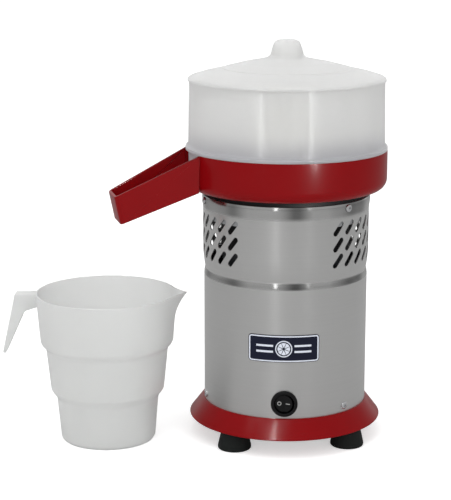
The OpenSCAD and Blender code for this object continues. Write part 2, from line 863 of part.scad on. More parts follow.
// The slots that the winding lies in, drawn in by a gap
module winding_slots(gap, h) {
    for (i = [0:stator_slots - 1])
        rotate([0, 0, i * 360 / stator_slots])
            translate([winding_in_r + gap, gap - winding_slot_w / 2, 0])
                cube([winding_out_r - winding_in_r - 2 * gap, winding_slot_w - 2 * gap, h]);
}

module stator_core() {
    color("#6d7073")
    difference() {
        translate([0, 0, stator_z])
            tube(stator_r, stator_bore_r, stator_l);
        translate([0, 0, stator_z - cut])
            winding_slots(0, stator_l + 2 * cut);
        around(bolt_count, 0, bolt_at_r)
            translate([0, 0, stator_z - cut])
                cylinder(r = bolt_r + fit_gap, h = stator_l + 2 * cut);
    }
}

module stator_winding() {
    round_r = (winding_out_r - winding_in_r) / 2 - fit_gap;
    mid_r = (winding_out_r + winding_in_r) / 2;
    color("#b0652c")
    union() {
        translate([0, 0, stator_z - cut])
            winding_slots(case_gap, stator_l + 2 * cut);
        for (end = [0, 1])
            translate([0, 0, end == 0 ? stator_z : stator_top_z])
                mirror([0, 0, 1 - end])
                    rotate_extrude()
                        polygon(concat(
                            [[mid_r - round_r, 0], [mid_r + round_r, 0]],
                            arc([mid_r, winding_h - round_r], round_r, 0, 180)
                        ));
    }
}

module motor_bolts() {
    head_z = stator_z - bell_h - bolt_head_h;
    color("#8d9091")
    around(bolt_count, 0, bolt_at_r)
        translate([0, 0, head_z])
            union() {
                cylinder(r = bolt_head_r, h = bolt_head_h, $fn = 6);
                cylinder(r = bolt_r, h = cover_under_z + bolt_bite - head_z);
            }
}

module bearing(z) {
    race = (bearing_r - shaft_r) / 3;
    groove = chamfer / 2;
    color("#9fa3a6")
    translate([0, 0, z])
        difference() {
            tube(bearing_r, shaft_r + run_gap, bearing_w);
            for (end = [-cut, bearing_w - groove])
                translate([0, 0, end])
                    tube(bearing_r - race, shaft_r + race, groove + cut);
        }
}

module upper_bearing() bearing(stator_top_z + bearing_from);
module lower_bearing() bearing(stator_z - bearing_from - bearing_w);

module rotor_core() {
    rotor_r = stator_bore_r - air_gap;
    color("#7c7f82")
    difference() {
        translate([0, 0, stator_z - end_ring_h])
            rotate_extrude()
                polygon([
                    [shaft_r + fit_gap, end_ring_h], [shaft_r + fit_gap, end_ring_h + stator_l],
                    [rotor_r - end_ring_h, end_ring_h + stator_l],
                    [rotor_r - end_ring_h, 2 * end_ring_h + stator_l],
                    [rotor_r - air_gap, 2 * end_ring_h + stator_l],
                    [rotor_r - air_gap, end_ring_h + stator_l], [rotor_r, end_ring_h + stator_l],
                    [rotor_r, end_ring_h], [rotor_r - air_gap, end_ring_h], [rotor_r - air_gap, 0],
                    [rotor_r - end_ring_h, 0], [rotor_r - end_ring_h, end_ring_h]
                ]);
    }
}

module motor_shaft() {
    color("#b9bcbe")
    difference() {
        union() {
            translate([0, 0, shaft_low_z])
                cylinder(r = shaft_r, h = drive_z - shaft_low_z);
            translate([0, 0, shaft_low_z])
                cylinder(r = drive_r, h = shaft_top_z - shaft_low_z);
        }
        translate([-drive_r - cut, 0, pin_z])
            rotate([0, 90, 0])
                cylinder(r = pin_r + fit_gap, h = 2 * drive_r + 2 * cut);
    }
}

module drive_pin() {
    color("#d2d4d5")
    translate([-pin_l / 2, 0, pin_z])
        rotate([0, 90, 0])
            cylinder(r = pin_r, h = pin_l);
}

module cooling_fan() {
    color("#2b2d2f")
    difference() {
        translate([0, 0, fan_z])
            union() {
                cylinder(r = fan_r, h = fan_t);
                cylinder(r = fan_hub_r, h = fan_t + fan_blade_h);
                for (i = [0:fan_blades - 1])
                    rotate([0, 0, i * 360 / fan_blades])
                        translate([fan_hub_r - fan_t, -fan_t / 2, 0])
                            cube([fan_r - fan_hub_r, fan_t, fan_t + fan_blade_h]);
            }
        translate([0, 0, fan_z - cut])
            cylinder(r = shaft_r + fit_gap, h = fan_t + fan_blade_h + 2 * cut);
    }
}

module run_capacitor() {
    color("#d9dad6")
    translate([-capacitor_l / 2, capacitor_y, plate_top_z + clip_t + capacitor_r])
        rotate([0, 90, 0])
            union() {
                cylinder(r = capacitor_r, h = capacitor_l);
                for (side = [-1, 1])
                    translate([0, side * capacitor_r / 3, capacitor_l])
                        cylinder(r = pin_r, h = clip_w / 2);
            }
}

module capacitor_clip() {
    color("#9a9c9c")
    difference() {
        translate([-clip_w / 2, capacitor_y, plate_top_z + clip_t + capacitor_r])
            union() {
                rotate([0, 90, 0])
                    cylinder(r = capacitor_r + fit_gap + clip_t, h = clip_w);
                translate([0, -capacitor_r - clip_w / 2, -capacitor_r - clip_t])
                    cube([clip_w, 2 * capacitor_r + clip_w, clip_t - fit_gap]);
            }
        translate([-clip_w, capacitor_y, plate_top_z + clip_t + capacitor_r])
            rotate([0, 90, 0])
                cylinder(r = capacitor_r + fit_gap, h = 2 * clip_w);
        translate([-clip_w, capacitor_y - capacitor_r, plate_top_z - 2 * clip_t])
            cube([2 * clip_w, 2 * capacitor_r, 2 * clip_t]);
    }
}

module terminal_block() {
    pitch = terminal_l / terminal_count;
    color("#e4e2da")
    translate([-terminal_l / 2, -terminal_y - terminal_d / 2, plate_top_z])
        difference() {
            cube([terminal_l, terminal_d, terminal_h]);
            for (i = [0:terminal_count - 1], side = terminal_shares)
                translate([(i + 0.5) * pitch, side * terminal_d, terminal_h / 2])
                    cylinder(r = pitch / 4, h = terminal_h);
        }
}

module switch_bezel() {
    color("#141516")
    difference() {
        union() {
            difference() {
                translate([0, bezel_y, switch_z])
                    rotate([-90, 0, 0])
                        union() {
                            cylinder(r = bezel_r - bezel_t / 3, h = bezel_t);
                            translate([0, 0, bezel_t / 3])
                                cylinder(r = bezel_r, h = bezel_t);
                        }
                cylinder(r = shell_r + fit_gap, h = switch_z + 2 * bezel_r);
            }
            translate([0, bezel_y + bezel_t / 2, switch_z])
                rotate([-90, 0, 0])
                    cylinder(r = barrel_r, h = barrel_l + bezel_t / 2);
        }
        translate([0, bezel_y - cut, switch_z])
            rotate([-90, 0, 0])
                cylinder(r = bezel_hole_r, h = cut + 2 * bezel_t + bezel_hole_r);
    }
}

// Puts its children on the rocker's face, tilted to rest at off
module on_rocker() {
    translate([0, rocker_y, switch_z])
        rotate([0, 0, -rocker_tilt])
            children();
}

// Plan of the rocker, thicker at its two ends
function rocker_plan() = [
    [-bezel_hole_r, -rocker_t / 2], [0, -rocker_t / 3], [bezel_hole_r, -rocker_t / 2],
    [bezel_hole_r, rocker_t / 2], [-bezel_hole_r, rocker_t / 2]
];

module switch_rocker() {
    color("#1d1e1f")
    on_rocker()
        intersection() {
            rotate([90, 0, 0])
                cylinder(r = rocker_r, h = 2 * rocker_t, center = true);
            translate([0, 0, -bezel_hole_r])
                linear_extrude(2 * bezel_hole_r)
                    polygon(rocker_plan());
        }
}

module switch_marks() {
    lean = atan(rocker_t / 6 / bezel_hole_r);
    color("#e8e8e8")
    on_rocker() {
        rotate([0, 0, lean])
            translate([-mark_x, -rocker_t / 3 - mark_t, 0])
                rotate([-90, 0, 0])
                    tube(mark_r, mark_r - mark_w, mark_t);
        rotate([0, 0, -lean])
            translate([mark_x - mark_r, -rocker_t / 3 - mark_t, -mark_w / 2])
                cube([2 * mark_r, mark_t, mark_w]);
    }
}

module cable_inlet() {
    color("#1b1c1d")
    difference() {
        union() {
            difference() {
                translate([0, shell_r - cut, inlet_z])
                    rotate([-90, 0, 0])
                        cylinder(r = inlet_hex_r, h = inlet_hex_t + cut, $fn = 6);
                cylinder(r = shell_r + fit_gap, h = inlet_z + 2 * inlet_hex_r);
            }
            translate([0, shell_r + inlet_hex_t, inlet_z])
                rotate([-90, 0, 0])
                    cylinder(r1 = inlet_barrel_r + chamfer, r2 = inlet_cap_r, h = inlet_cap_l);
            translate([0, shell_r - inlet_inside_l, inlet_z])
                rotate([-90, 0, 0])
                    cylinder(r = inlet_barrel_r, h = inlet_inside_l + inlet_hex_t);
        }
        translate([0, shell_r - inlet_inside_l - cut, inlet_z])
            rotate([-90, 0, 0])
                cylinder(r = inlet_bore_r, h = inlet_inside_l + inlet_hex_t + inlet_cap_l + 2 * cut);
    }
}

module inlet_nut() {
    inside_y = sqrt(pow(shell_r - shell_wall, 2) - pow(inlet_hex_r, 2));
    color("#1b1c1d")
    translate([0, inside_y - fit_gap - inlet_nut_t, inlet_z])
        rotate([-90, 0, 0])
            difference() {
                cylinder(r = inlet_hex_r, h = inlet_nut_t, $fn = 6);
                translate([0, 0, -cut])
                    cylinder(r = inlet_barrel_r + fit_gap, h = inlet_nut_t + 2 * cut);
            }
}

// A flat outline laid on the front of the lower shell, between two radii
module on_front(from, to) {
    difference() {
        intersection() {
            translate([0, 0, label_z - label_h])
                cylinder(r = to, h = 2 * label_h);
            translate([label_x, 0, label_z])
                rotate([90, 0, 0])
                    linear_extrude(to + cut)
                        children();
        }
        translate([0, 0, label_z - label_h - cut])
            cylinder(r = from, h = 2 * label_h + 2 * cut);
    }
}

// The label's outline, drawn in by a margin
module label_outline(in) {
    w = label_w - 2 * in;
    h = label_h - 2 * in;
    r = label_corner - in;
    square([w, h - 2 * r], center = true);
    square([w - 2 * r, h], center = true);
    for (x = [-1, 1], y = [-1, 1])
        translate([x * (w / 2 - r), y * (h / 2 - r)])
            circle(r = r, $fn = hull_steps);
}

module label_plate() {
    color("#1f202f")
    on_front(shell_r + fit_gap, shell_r + label_t)
        label_outline(0);
}

module label_border() {
    color("#d5d8de")
    on_front(shell_r + label_t, shell_r + label_t + border_t)
        difference() {
            label_outline(border_w / 2);
            label_outline(border_w * 1.5);
        }
}

// A slice of citrus between two pairs of plain stripes
module label_emblem() {
    rind = emblem_r / 8;
    half_w = emblem_r * segment_share;
    color("#e6e8ec")
    on_front(shell_r + label_t, shell_r + label_t + border_t) {
        difference() {
            circle(r = emblem_r);
            circle(r = emblem_r - rind);
        }
        for (i = [0:emblem_segments - 1])
            rotate(i * 360 / emblem_segments)
                polygon([
                    [rind, 0], [emblem_r - 2.5 * rind, -half_w], [emblem_r - 2 * rind, 0],
                    [emblem_r - 2.5 * rind, half_w]
                ]);
        for (x = [-1, 1], y = [-1, 1])
            translate([x * (emblem_r + rind * 2 + stripe_l / 2), y * stripe_h * 1.5])
                square([stripe_l, stripe_h], center = true);
    }
}

// Half width of the spout at a distance behind its tip
function spout_half(back) = spout_tip_w / 2 + back * spout_taper;

// Plan of the spout behind its tip, drawn in by a wall
function spout_plan(in) =
    let (c = spout_corner - in / 2, h = spout_tip_w / 2 - in, back = spout_run + bowl_edge_r * 3)
    concat(
        [[-back, -spout_half(back) + in]],
        arc([-in - c, c - h], c, -90, 0),
        arc([-in - c, h - c], c, 0, 90),
        [[-back, spout_half(back) - in]]
    );

// Everything on one side of a plane that falls towards the spout's tip
module spout_slab(z, slope, up) {
    size = 2 * spout_l;
    translate([spout_root_at, 0, z])
        rotate([0, slope, 0])
            translate([-size / 2, -size / 2, up ? 0 : -size])
                cube([size, size, size]);
}

module spout_prism(in) {
    translate([spout_l, 0, spout_tip_z])
        rotate([0, spout_lean, 0])
            translate([0, 0, -spout_run])
                linear_extrude(2 * spout_run)
                    polygon(spout_plan(in));
}

// The way that the juice takes through the bowl's wall and along the spout
module spout_channel() {
    intersection() {
        spout_prism(spout_wall);
        spout_slab(spout_floor_z + spout_wall, spout_floor_slope, true);
    }
}

module spout() {
    color("#8c191e")
    rotate([0, 0, 180 + spout_turn])
    difference() {
        intersection() {
            spout_prism(0);
            spout_slab(rim_z, spout_top_slope, false);
            spout_slab(spout_floor_z, spout_floor_slope, true);
            translate([0, 0, -cut])
                cylinder(r = 2 * spout_l, h = rim_z + cut);
        }
        cylinder(r = bowl_r + fit_gap, h = rim_z + cut);
        spout_channel();
        translate([spout_l - outlet_back, 0, bowl_z - spout_run])
            cylinder(r = outlet_r, h = 2 * spout_run);
    }
}

module bowl() {
    edge_in = bowl_edge_r - bowl_wall;
    color("#86100f")
    difference() {
        rotate_extrude()
            polygon(concat(
                [[tower_in_r, bowl_z]],
                arc([bowl_r - bowl_edge_r, bowl_z + bowl_edge_r], bowl_edge_r, -90, 0),
                [[bowl_r, rim_z], [bowl_in_r, rim_z]],
                flip(arc([bowl_in_r - edge_in, bowl_floor_z + edge_in], edge_in, -90, 0)),
                [[tower_r, bowl_floor_z], [tower_r, tower_top_z], [tower_in_r, tower_top_z]]
            ));
        rotate([0, 0, 180 + spout_turn])
            spout_channel();
    }
}

module strainer() {
    color("#c3c6c8")
    difference() {
        rotate_extrude()
            polygon([
                [strainer_collar_r, strainer_z], [strainer_skirt_r - strainer_t, strainer_z],
                [strainer_skirt_r - strainer_t, bowl_floor_z], [strainer_skirt_r, bowl_floor_z],
                [strainer_skirt_r, strainer_z], [strainer_r, strainer_z],
                [strainer_r, strainer_top_z], [strainer_collar_r + strainer_t, strainer_top_z],
                [strainer_collar_r + strainer_t, strainer_top_z + strainer_collar_h],
                [strainer_collar_r, strainer_top_z + strainer_collar_h]
            ]);
        for (i = [0:strainer_gates - 1])
            rotate([0, 0, 180 + spout_turn + i * 360 / strainer_gates])
                translate([strainer_skirt_r - strainer_t - cut, -gate_w / 2, bowl_floor_z - cut])
                    cube([strainer_t + 2 * cut, gate_w, strainer_skirt_h + cut]);
        for (ring = [0:hole_rings - 1])
            around(hole_first + ring * hole_more, 0, hole_ring_r + ring * hole_ring_pitch)
                translate([0, 0, strainer_z - cut])
                    cylinder(r = hole_r, h = strainer_t + 2 * cut);
    }
}

// The reamer's cone, as points from its base to its tip
function reamer_line(out, up) = [for (p = reamer_shares)
    [p[0] * (reamer_r + out), cone_z + p[1] * (reamer_top_z - up - cone_z)]];

module reamer() {
    bore_z = reamer_z + reamer_hollow_h;
    color("#e9e7df")
    difference() {
        union() {
            rotate_extrude()
                polygon(concat(
                    [[0, reamer_z], [reamer_foot_r, reamer_z], [reamer_foot_r, cone_z]],
                    reamer_line(0, rib_out)
                ));
            for (i = [0:reamer_ribs - 1])
                rotate([90, 0, i * 360 / reamer_ribs])
                    translate([0, 0, -rib_t / 2])
                        linear_extrude(rib_t)
                            polygon(concat([[0, cone_z - reamer_foot_t / 2]],
                                [[reamer_r + rib_out, cone_z - reamer_foot_t / 2]],
                                reamer_line(rib_out, 0)));
        }
        translate([0, 0, reamer_z - cut])
            cylinder(r = reamer_hollow_r, h = reamer_hollow_h + cut);
        translate([0, 0, reamer_z])
            cylinder(r = drive_r + case_gap, h = shaft_top_z - reamer_z);
        translate([-pin_l / 2 - slip_gap, -pin_r - slip_gap, bore_z - cut])
            cube([pin_l + 2 * slip_gap, 2 * (pin_r + slip_gap), pin_z + pin_r + slip_gap - bore_z + cut]);
    }
}

module guard_ring() {
    color("#dcdcda")
    rotate_extrude()
        polygon([
            [guard_skirt_r, guard_z - guard_skirt_h], [guard_skirt_r, guard_z],
            [bowl_r, guard_z], [bowl_r, guard_z + guard_flange_t],
            [guard_low_r + guard_blend_h / 4, guard_z + guard_flange_t + guard_blend_h / 4],
            [guard_low_r, guard_z + guard_flange_t + guard_blend_h], [guard_top_r, guard_top_z],
            [guard_top_r - guard_wall, guard_top_z],
            [guard_in_r, guard_z + guard_flange_t + guard_blend_h],
            [guard_skirt_r - guard_wall, guard_z], [guard_skirt_r - guard_wall, guard_z - guard_skirt_h]
        ]);
}

module lid() {
    line = [for (p = lid_shares) [p[0] * lid_r, guard_top_z + p[1] * lid_h]];
    under = [for (p = line) if (p[0] < lid_plug_r) [max(p[0] - lid_wall, 0), p[1] - lid_wall]];
    color("#e3e3e3")
    rotate_extrude()
        polygon(concat(
            line,
            flip(under),
            [
                [lid_plug_r - lid_wall, guard_top_z + lid_band],
                [lid_plug_r - lid_wall, guard_top_z - lid_plug_h],
                [lid_plug_r, guard_top_z - lid_plug_h], [lid_plug_r, guard_top_z]
            ]
        ));
}

// The pouring lip's body, drawn in by a wall and raised at its top
module lip_body(in, up) {
    root = jug_r - lip_half_w;
    hull() {
        translate([root, 0, jug_h - chamfer])
            cylinder(r = lip_half_w + chamfer - in, h = chamfer + up, $fn = hull_steps);
        translate([lip_reach - lip_tip_r, 0, jug_h + lip_rise - chamfer])
            cylinder(r = lip_tip_r - in, h = chamfer + up, $fn = hull_steps);
        translate([jug_r * lip_foot_share - in, 0, jug_h - lip_depth + in])
            cylinder(r = chamfer / 2, h = chamfer, $fn = hull_steps / 2);
    }
}

module jug_handle() {
    top = jug_h - handle_sink;
    rotate([90, 0, 0])
        translate([0, 0, -handle_w / 2])
            linear_extrude(handle_w)
                polygon([
                    [jug_r - jug_wall, top], [handle_corner_at - chamfer, top],
                    [handle_corner_at, top - chamfer], [handle_tip_at, top - handle_drop],
                    [handle_tip_at - jug_wall / 2, top - handle_drop - chamfer],
                    [handle_tip_at - 1.5 * jug_wall, top - handle_drop],
                    [handle_corner_at - handle_t, top - handle_drop * finger_drop_share],
                    [handle_corner_at - handle_t * finger_corner_share,
                        top - handle_drop * finger_top_share],
                    [jug_r - jug_wall, jug_h - handle_drop * handle_foot_share]
                ]);
}

module jug() {
    outer = [for (p = jug_shares) [p[0] * jug_r, p[1] * jug_h]];
    inner = [for (p = outer) [p[0] - jug_wall, max(p[1], jug_wall)]];
    color("#d2d3d1")
    translate([jug_x, jug_y, 0])
        difference() {
            union() {
                rotate_extrude()
                    polygon(concat([[0, 0]], outer, [[0, jug_h]]));
                lip_body(0, 0);
                rotate([0, 0, 180])
                    jug_handle();
            }
            rotate_extrude()
                polygon(concat(
                    [[0, jug_wall]], inner,
                    [[jug_r - jug_wall, jug_h + 2 * lip_rise], [0, jug_h + 2 * lip_rise]]
                ));
            lip_body(jug_wall, 2 * lip_rise);
        }
}

base_ring();
base_plate();
base_plate_screws();
foot_front_right();
foot_front_left();
foot_rear_left();
foot_rear_right();
foot_screws();
lower_shell();
upper_shell();
shell_band();
lower_shell_screws();
upper_shell_screws();
top_cover();
shaft_seal();
bowl_gasket();
upper_end_bell();
lower_end_bell();
stator_core();
stator_winding();
motor_bolts();
upper_bearing();
lower_bearing();
rotor_core();
motor_shaft();
drive_pin();
cooling_fan();
run_capacitor();
capacitor_clip();
terminal_block();
switch_bezel();
switch_rocker();
switch_marks();
cable_inlet();
inlet_nut();
label_plate();
label_border();
label_emblem();
bowl();
spout();
strainer();
reamer();
guard_ring();
lid();
jug();
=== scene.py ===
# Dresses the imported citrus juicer: detailed pieces, materials, lights and camera.
# Metres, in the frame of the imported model: +Z up, switch towards -Y, spout towards -X.
import json
import math

import bmesh
import bpy
from mathutils import Matrix, Vector

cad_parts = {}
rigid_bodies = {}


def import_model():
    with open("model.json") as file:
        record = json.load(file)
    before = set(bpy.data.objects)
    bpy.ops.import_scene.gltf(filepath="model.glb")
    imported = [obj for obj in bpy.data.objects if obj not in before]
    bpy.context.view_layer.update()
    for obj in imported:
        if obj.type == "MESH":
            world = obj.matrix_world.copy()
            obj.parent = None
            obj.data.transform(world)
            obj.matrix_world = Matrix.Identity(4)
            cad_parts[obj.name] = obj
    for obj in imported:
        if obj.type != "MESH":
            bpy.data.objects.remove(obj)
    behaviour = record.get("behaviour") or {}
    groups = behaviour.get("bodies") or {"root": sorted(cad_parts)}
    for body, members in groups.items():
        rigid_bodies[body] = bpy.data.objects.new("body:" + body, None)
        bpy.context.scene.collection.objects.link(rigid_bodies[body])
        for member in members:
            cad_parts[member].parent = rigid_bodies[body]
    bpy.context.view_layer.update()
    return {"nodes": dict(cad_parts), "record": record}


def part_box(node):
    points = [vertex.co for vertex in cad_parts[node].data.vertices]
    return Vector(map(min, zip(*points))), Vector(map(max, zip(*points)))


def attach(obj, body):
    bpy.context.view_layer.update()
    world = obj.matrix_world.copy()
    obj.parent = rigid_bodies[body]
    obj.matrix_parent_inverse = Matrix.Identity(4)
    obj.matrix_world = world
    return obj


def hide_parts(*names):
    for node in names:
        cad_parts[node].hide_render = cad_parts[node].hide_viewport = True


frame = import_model()

MM = 0.001
TURN = 2 * math.pi
# How many steps a turned piece and a rounded corner are drawn in
TURN_STEPS = 144
ROUND_STEPS = 4
# Points of a mesh that are nearer than this become one
WELD = 0.002 * MM

GUARD_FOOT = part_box("bowl")[1].z
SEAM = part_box("upper_shell")[0].z
SHELL_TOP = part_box("upper_shell")[1].z
SHELL_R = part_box("upper_shell")[1].x
SHOULDER = SHELL_TOP - 13 * MM
LOWER_SHELL_R = 75 * MM

body_of_node = {}
for body_name, members in frame["record"]["behaviour"]["bodies"].items():
    for member in members:
        body_of_node[member] = body_name
slot_of_node = {}
for row in frame["record"]["subparts"]:
    slot_of_node[row["node"]] = row["material_slot"]


# Materials
def linear(red, green, blue):
    """A colour given as screen values from 0 to 255, as the shader's linear values."""
    shares = [value / 255 for value in (red, green, blue)]
    values = [s / 12.92 if s <= 0.04045 else ((s + 0.055) / 1.055) ** 2.4 for s in shares]
    return (*values, 1.0)


class Shader:
    """A material with one Principled shader and short calls that add its nodes."""

    def __init__(self, name, colour, **sockets):
        self.material = bpy.data.materials.new(name)
        self.material.use_nodes = True
        self.nodes = self.material.node_tree.nodes
        self.links = self.material.node_tree.links
        self.principled = self.nodes["Principled BSDF"]
        self.colour = colour
        self.principled.inputs["Base Color"].default_value = colour
        for key, value in sockets.items():
            self.principled.inputs[key.replace("_", " ")].default_value = value

    def noise(self, scale, detail=3.0, stretch=(1, 1, 1)):
        """Noise over the piece's own place, with this many cells to the metre."""
        coordinates = self.nodes.new("ShaderNodeTexCoord")
        mapping = self.nodes.new("ShaderNodeMapping")
        mapping.inputs["Scale"].default_value = stretch
        texture = self.nodes.new("ShaderNodeTexNoise")
        texture.inputs["Scale"].default_value = scale
        texture.inputs["Detail"].default_value = detail
        self.links.new(coordinates.outputs["Object"], mapping.inputs["Vector"])
        self.links.new(mapping.outputs["Vector"], texture.inputs["Vector"])
        return texture.outputs["Fac"]

    def height(self, low, high):
        """How far up the piece's own place is between two heights, from 0 to 1."""
        coordinates = self.nodes.new("ShaderNodeTexCoord")
        split = self.nodes.new("ShaderNodeSeparateXYZ")
        self.links.new(coordinates.outputs["Object"], split.inputs["Vector"])
        node = self.nodes.new("ShaderNodeMapRange")
        node.interpolation_type = "SMOOTHSTEP"
        node.inputs["From Min"].default_value = low
        node.inputs["From Max"].default_value = high
        self.links.new(split.outputs["Z"], node.inputs["Value"])
        return node.outputs["Result"]

    def contrast(self, value, low, high):
        """A value stretched so that it runs from 0 to 1 between two of its own levels."""
        node = self.nodes.new("ShaderNodeMapRange")
        node.inputs["From Min"].default_value = low
        node.inputs["From Max"].default_value = high
        self.links.new(value, node.inputs["Value"])
        return node.outputs["Result"]

    def ramp(self, value, low, high):
        """A value from 0 to 1 spread between two numbers."""
        node = self.nodes.new("ShaderNodeMapRange")
        node.inputs["To Min"].default_value = low
        node.inputs["To Max"].default_value = high
        self.links.new(value, node.inputs["Value"])
        return node.outputs["Result"]

    def product(self, one, other):
        """Two values multiplied."""
        node = self.nodes.new("ShaderNodeMath")
        node.operation = "MULTIPLY"
        self.links.new(one, node.inputs[0])
        self.links.new(other, node.inputs[1])
        return node.outputs[0]

    def mixed(self, share, value, number):
        """A value that gives way to a number as the share goes from 0 to 1."""
        node = self.nodes.new("ShaderNodeMix")
        node.data_type = "FLOAT"
        node.inputs["B"].default_value = number
        self.links.new(share, node.inputs["Factor"])
        self.links.new(value, node.inputs["A"])
        return node.outputs["Result"]

    def blended(self, share, one, other):
        """A colour that runs from one to another as the share goes from 0 to 1."""
        node = self.nodes.new("ShaderNodeMix")
        node.data_type = "RGBA"
        node.inputs["A"].default_value = one
        node.inputs["B"].default_value = other
        self.links.new(share, node.inputs["Factor"])
        self.links.new(node.outputs["Result"], self.principled.inputs["Base Color"])
        return node.outputs["Result"]

    def vary_colour(self, value, spread):
        """Lets the colour run darker and lighter by a share, along a value from 0 to 1."""
        darker = [part * (1 - spread) for part in self.colour[:3]]
        lighter = [min(1, part * (1 + spread)) for part in self.colour[:3]]
        return self.blended(value, (*darker, 1), (*lighter, 1))

    def shaded(self, share, tone, colour):
        """A colour that gives way to another as the share goes from 0 to 1."""
        node = self.nodes.new("ShaderNodeMix")
        node.data_type = "RGBA"
        node.inputs["B"].default_value = (*colour, 1)
        self.links.new(share, node.inputs["Factor"])
        self.links.new(tone, node.inputs["A"])
        return node.outputs["Result"]

    def vary_roughness(self, value, low, high):
        """Lets the roughness run between two numbers, along a value from 0 to 1."""
        self.links.new(self.ramp(value, low, high), self.principled.inputs["Roughness"])

    def bump(self, value, height, strength):
        """Raises the surface by up to a height, along a value from 0 to 1."""
        node = self.nodes.new("ShaderNodeBump")
        node.inputs["Strength"].default_value = strength
        node.inputs["Distance"].default_value = height
        self.links.new(value, node.inputs["Height"])
        self.links.new(node.outputs["Normal"], self.principled.inputs["Normal"])

    def round_tangent(self):
        """Turns the shader's stretched highlights around the upright axis."""
        node = self.nodes.new("ShaderNodeTangent")
        node.direction_type = "RADIAL"
        node.axis = "Z"
        self.links.new(node.outputs["Tangent"], self.principled.inputs["Tangent"])


def enamel(name, colour):
    """Glossy paint with a faint orange peel."""
    shader = Shader(
        name, colour, Roughness=0.3, Specular_IOR_Level=0.04, Coat_Weight=0.22, Coat_Roughness=0.16
    )
    shader.vary_colour(shader.noise(scale=35), spread=0.06)
    shader.bump(shader.noise(scale=900, detail=2), height=0.03 * MM, strength=0.4)
    return shader.material


def brushed(name, colour, roughness, lines, polished_and_painted_dark=()):
    """Sheet metal brushed around the upright axis, with this many lines to the metre.

    Stretches of its height, each given as low, high, blend and the share of colour they keep, get a
    finer polish, and their colour is darkened in patches as a painted dark reflection.
    """
    shader = Shader(name, colour, Metallic=1.0, Anisotropic=0.7, Anisotropic_Rotation=0.25)
    grain = shader.noise(scale=1, detail=4, stretch=(30, 30, lines))
    streaks = shader.noise(scale=1, detail=5, stretch=(14, 14, 700))
    tone = shader.vary_colour(streaks, spread=0.03)
    rough = shader.ramp(grain, roughness - 0.06, roughness + 0.08)
    # Upright patches where the painted dark reflection darkens the colour
    uprights = shader.noise(scale=26, detail=1, stretch=(1, 1, 0))
    patches = shader.contrast(uprights, low=0.4, high=0.62)
    polished_roughness = roughness * 0.45
    least_share = 0.25
    # Each stretch gets a smoother finish and a painted dark reflection: its colour darkened in
    # patches
    for low, high, blend, kept in polished_and_painted_dark:
        within = shader.product(
            shader.height(low - blend, low), shader.height(high + blend, high)
        )
        rough = shader.mixed(within, rough, polished_roughness)
        share = shader.product(within, shader.ramp(patches, least_share, 1))
        tone = shader.shaded(share, tone, [part * kept for part in colour[:3]])
    shader.links.new(rough, shader.principled.inputs["Roughness"])
    shader.links.new(tone, shader.principled.inputs["Base Color"])
    shader.bump(grain, height=0.02 * MM, strength=0.25)
    shader.round_tangent()
    return shader.material


def metal(name, colour, roughness, scale=500, bumps=0.05):
    """Plain, cast or plated metal with a fine uneven surface, its bumps in millimetres."""
    shader = Shader(name, colour, Metallic=1.0)
    grain = shader.noise(scale, detail=4)
    shader.vary_colour(shader.noise(scale=60), spread=0.06)
    shader.vary_roughness(grain, roughness * 0.8, roughness * 1.25)
    shader.bump(grain, height=bumps * MM, strength=0.4)
    return shader.material


def plastic(name, colour, roughness, scale=1800, bumps=0.02):
    """Opaque moulded plastic or rubber with a fine grain, its bumps in millimetres."""
    shader = Shader(name, colour, Specular_IOR_Level=0.2)
    grain = shader.noise(scale, detail=3)
    shader.vary_colour(shader.noise(scale=90), spread=0.05)
    shader.vary_roughness(grain, roughness * 0.9, min(1, roughness * 1.12))
    shader.bump(grain, height=bumps * MM, strength=0.5)
    return shader.material


def milky(name, colour, transmission, roughness, foot=None):
    """Translucent moulded plastic, clouded all through.

    Foot gives painted shade, darker towards the bottom: the height where it is darkest, the height
    where that ends, and the dark colour.
    """
    shader = Shader(
        name, colour, Transmission_Weight=transmission, IOR=1.25, Subsurface_Weight=0.6,
        Subsurface_Scale=6 * MM, Specular_IOR_Level=0.4, Coat_Weight=0.3, Coat_Roughness=0.14,
        Sheen_Weight=0.5, Sheen_Roughness=0.5
    )
    shader.principled.inputs["Subsurface Radius"].default_value = (1, 1, 1)
    clouds = shader.noise(scale=45, detail=4)
    if foot:
        # Painted shade: the colour runs darker towards the bottom
        low, high, dark = foot
        shader.blended(shader.height(low, high), dark, colour)
    else:
        shader.vary_colour(clouds, spread=0.02)
    shader.vary_roughness(clouds, roughness - 0.05, roughness + 0.05)
    shader.bump(shader.noise(scale=260, detail=3), height=0.03 * MM, strength=0.25)
    return shader.material


# Stretches of the steel's height with a finer polish, whose colour is darkened in patches as a
# painted dark reflection: low, high, blend, share of the colour kept
SHOULDER_POLISH_AND_PAINTED_DARK = (SHOULDER + 4 * MM, SHELL_TOP, 5 * MM, 0.3)
SEAM_POLISH_AND_PAINTED_DARK = (SEAM - 5.5 * MM, SEAM - 1.5 * MM, 2 * MM, 0.22)
# The heights between which the painted shade at the guard ring's foot fades, and the grey of that
# shade
RING_FOOT_PAINTED_SHADE = (GUARD_FOOT, GUARD_FOOT + 26 * MM, linear(208, 208, 212))

